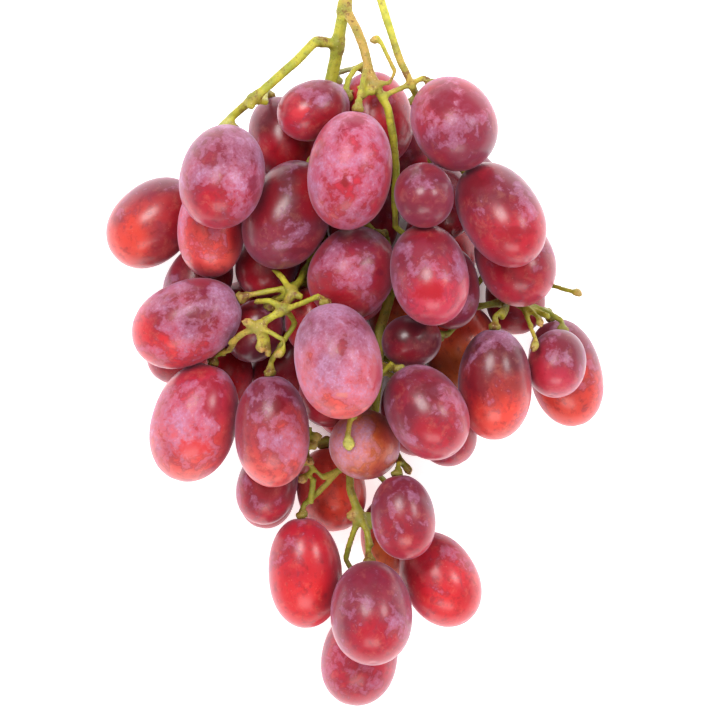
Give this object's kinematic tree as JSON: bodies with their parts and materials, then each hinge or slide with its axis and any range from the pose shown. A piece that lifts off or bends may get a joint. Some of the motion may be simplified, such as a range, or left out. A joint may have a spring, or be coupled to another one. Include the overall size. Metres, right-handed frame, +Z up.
{
  "type": "bunch of grapes",
  "caption": "Bunch of red table grapes lying on its back, with oval berries of mixed size on a branching green stalk that ends in a plain cut.",
  "frame": {"origin": "on the surface that the bunch lies on, under the middle of its box", "axes": "+Z up from the surface, +Y from the bunch's tip to the cut end of its stalk, +X across the bunch"},
  "size_m": [0.1248, 0.2084, 0.0612],
  "materials": {
    "stalk": "matte, yellow-green, browner at the knots",
    "grape_skin": "smooth red to purple skin with a patchy pale bloom"
  },
  "bodies": {
    "root": {"stalk": "stalk", "grape_01": "grape_skin", "grape_02": "grape_skin", "grape_03": "grape_skin", "grape_04": "grape_skin", "grape_05": "grape_skin", "grape_06": "grape_skin", "grape_07": "grape_skin", "grape_08": "grape_skin", "grape_09": "grape_skin", "grape_10": "grape_skin", "grape_11": "grape_skin", "grape_12": "grape_skin", "grape_13": "grape_skin", "grape_14": "grape_skin", "grape_15": "grape_skin", "grape_16": "grape_skin", "grape_17": "grape_skin", "grape_18": "grape_skin", "grape_19": "grape_skin", "grape_20": "grape_skin", "grape_21": "grape_skin", "grape_22": "grape_skin", "grape_23": "grape_skin", "grape_24": "grape_skin", "grape_25": "grape_skin", "grape_26": "grape_skin", "grape_27": "grape_skin", "grape_28": "grape_skin", "grape_29": "grape_skin", "grape_30": "grape_skin", "grape_31": "grape_skin", "grape_32": "grape_skin", "grape_33": "grape_skin", "grape_34": "grape_skin", "grape_35": "grape_skin", "grape_36": "grape_skin", "grape_37": "grape_skin", "grape_38": "grape_skin", "grape_39": "grape_skin", "grape_40": "grape_skin", "grape_41": "grape_skin", "grape_42": "grape_skin", "grape_43": "grape_skin", "grape_44": "grape_skin", "grape_45": "grape_skin", "grape_46": "grape_skin", "grape_47": "grape_skin", "grape_48": "grape_skin", "grape_49": "grape_skin", "grape_50": "grape_skin", "grape_51": "grape_skin", "grape_52": "grape_skin", "grape_53": "grape_skin", "grape_54": "grape_skin", "grape_55": "grape_skin", "grape_56": "grape_skin", "grape_57": "grape_skin", "grape_58": "grape_skin", "grape_59": "grape_skin"}
  },
  "joints": []
}
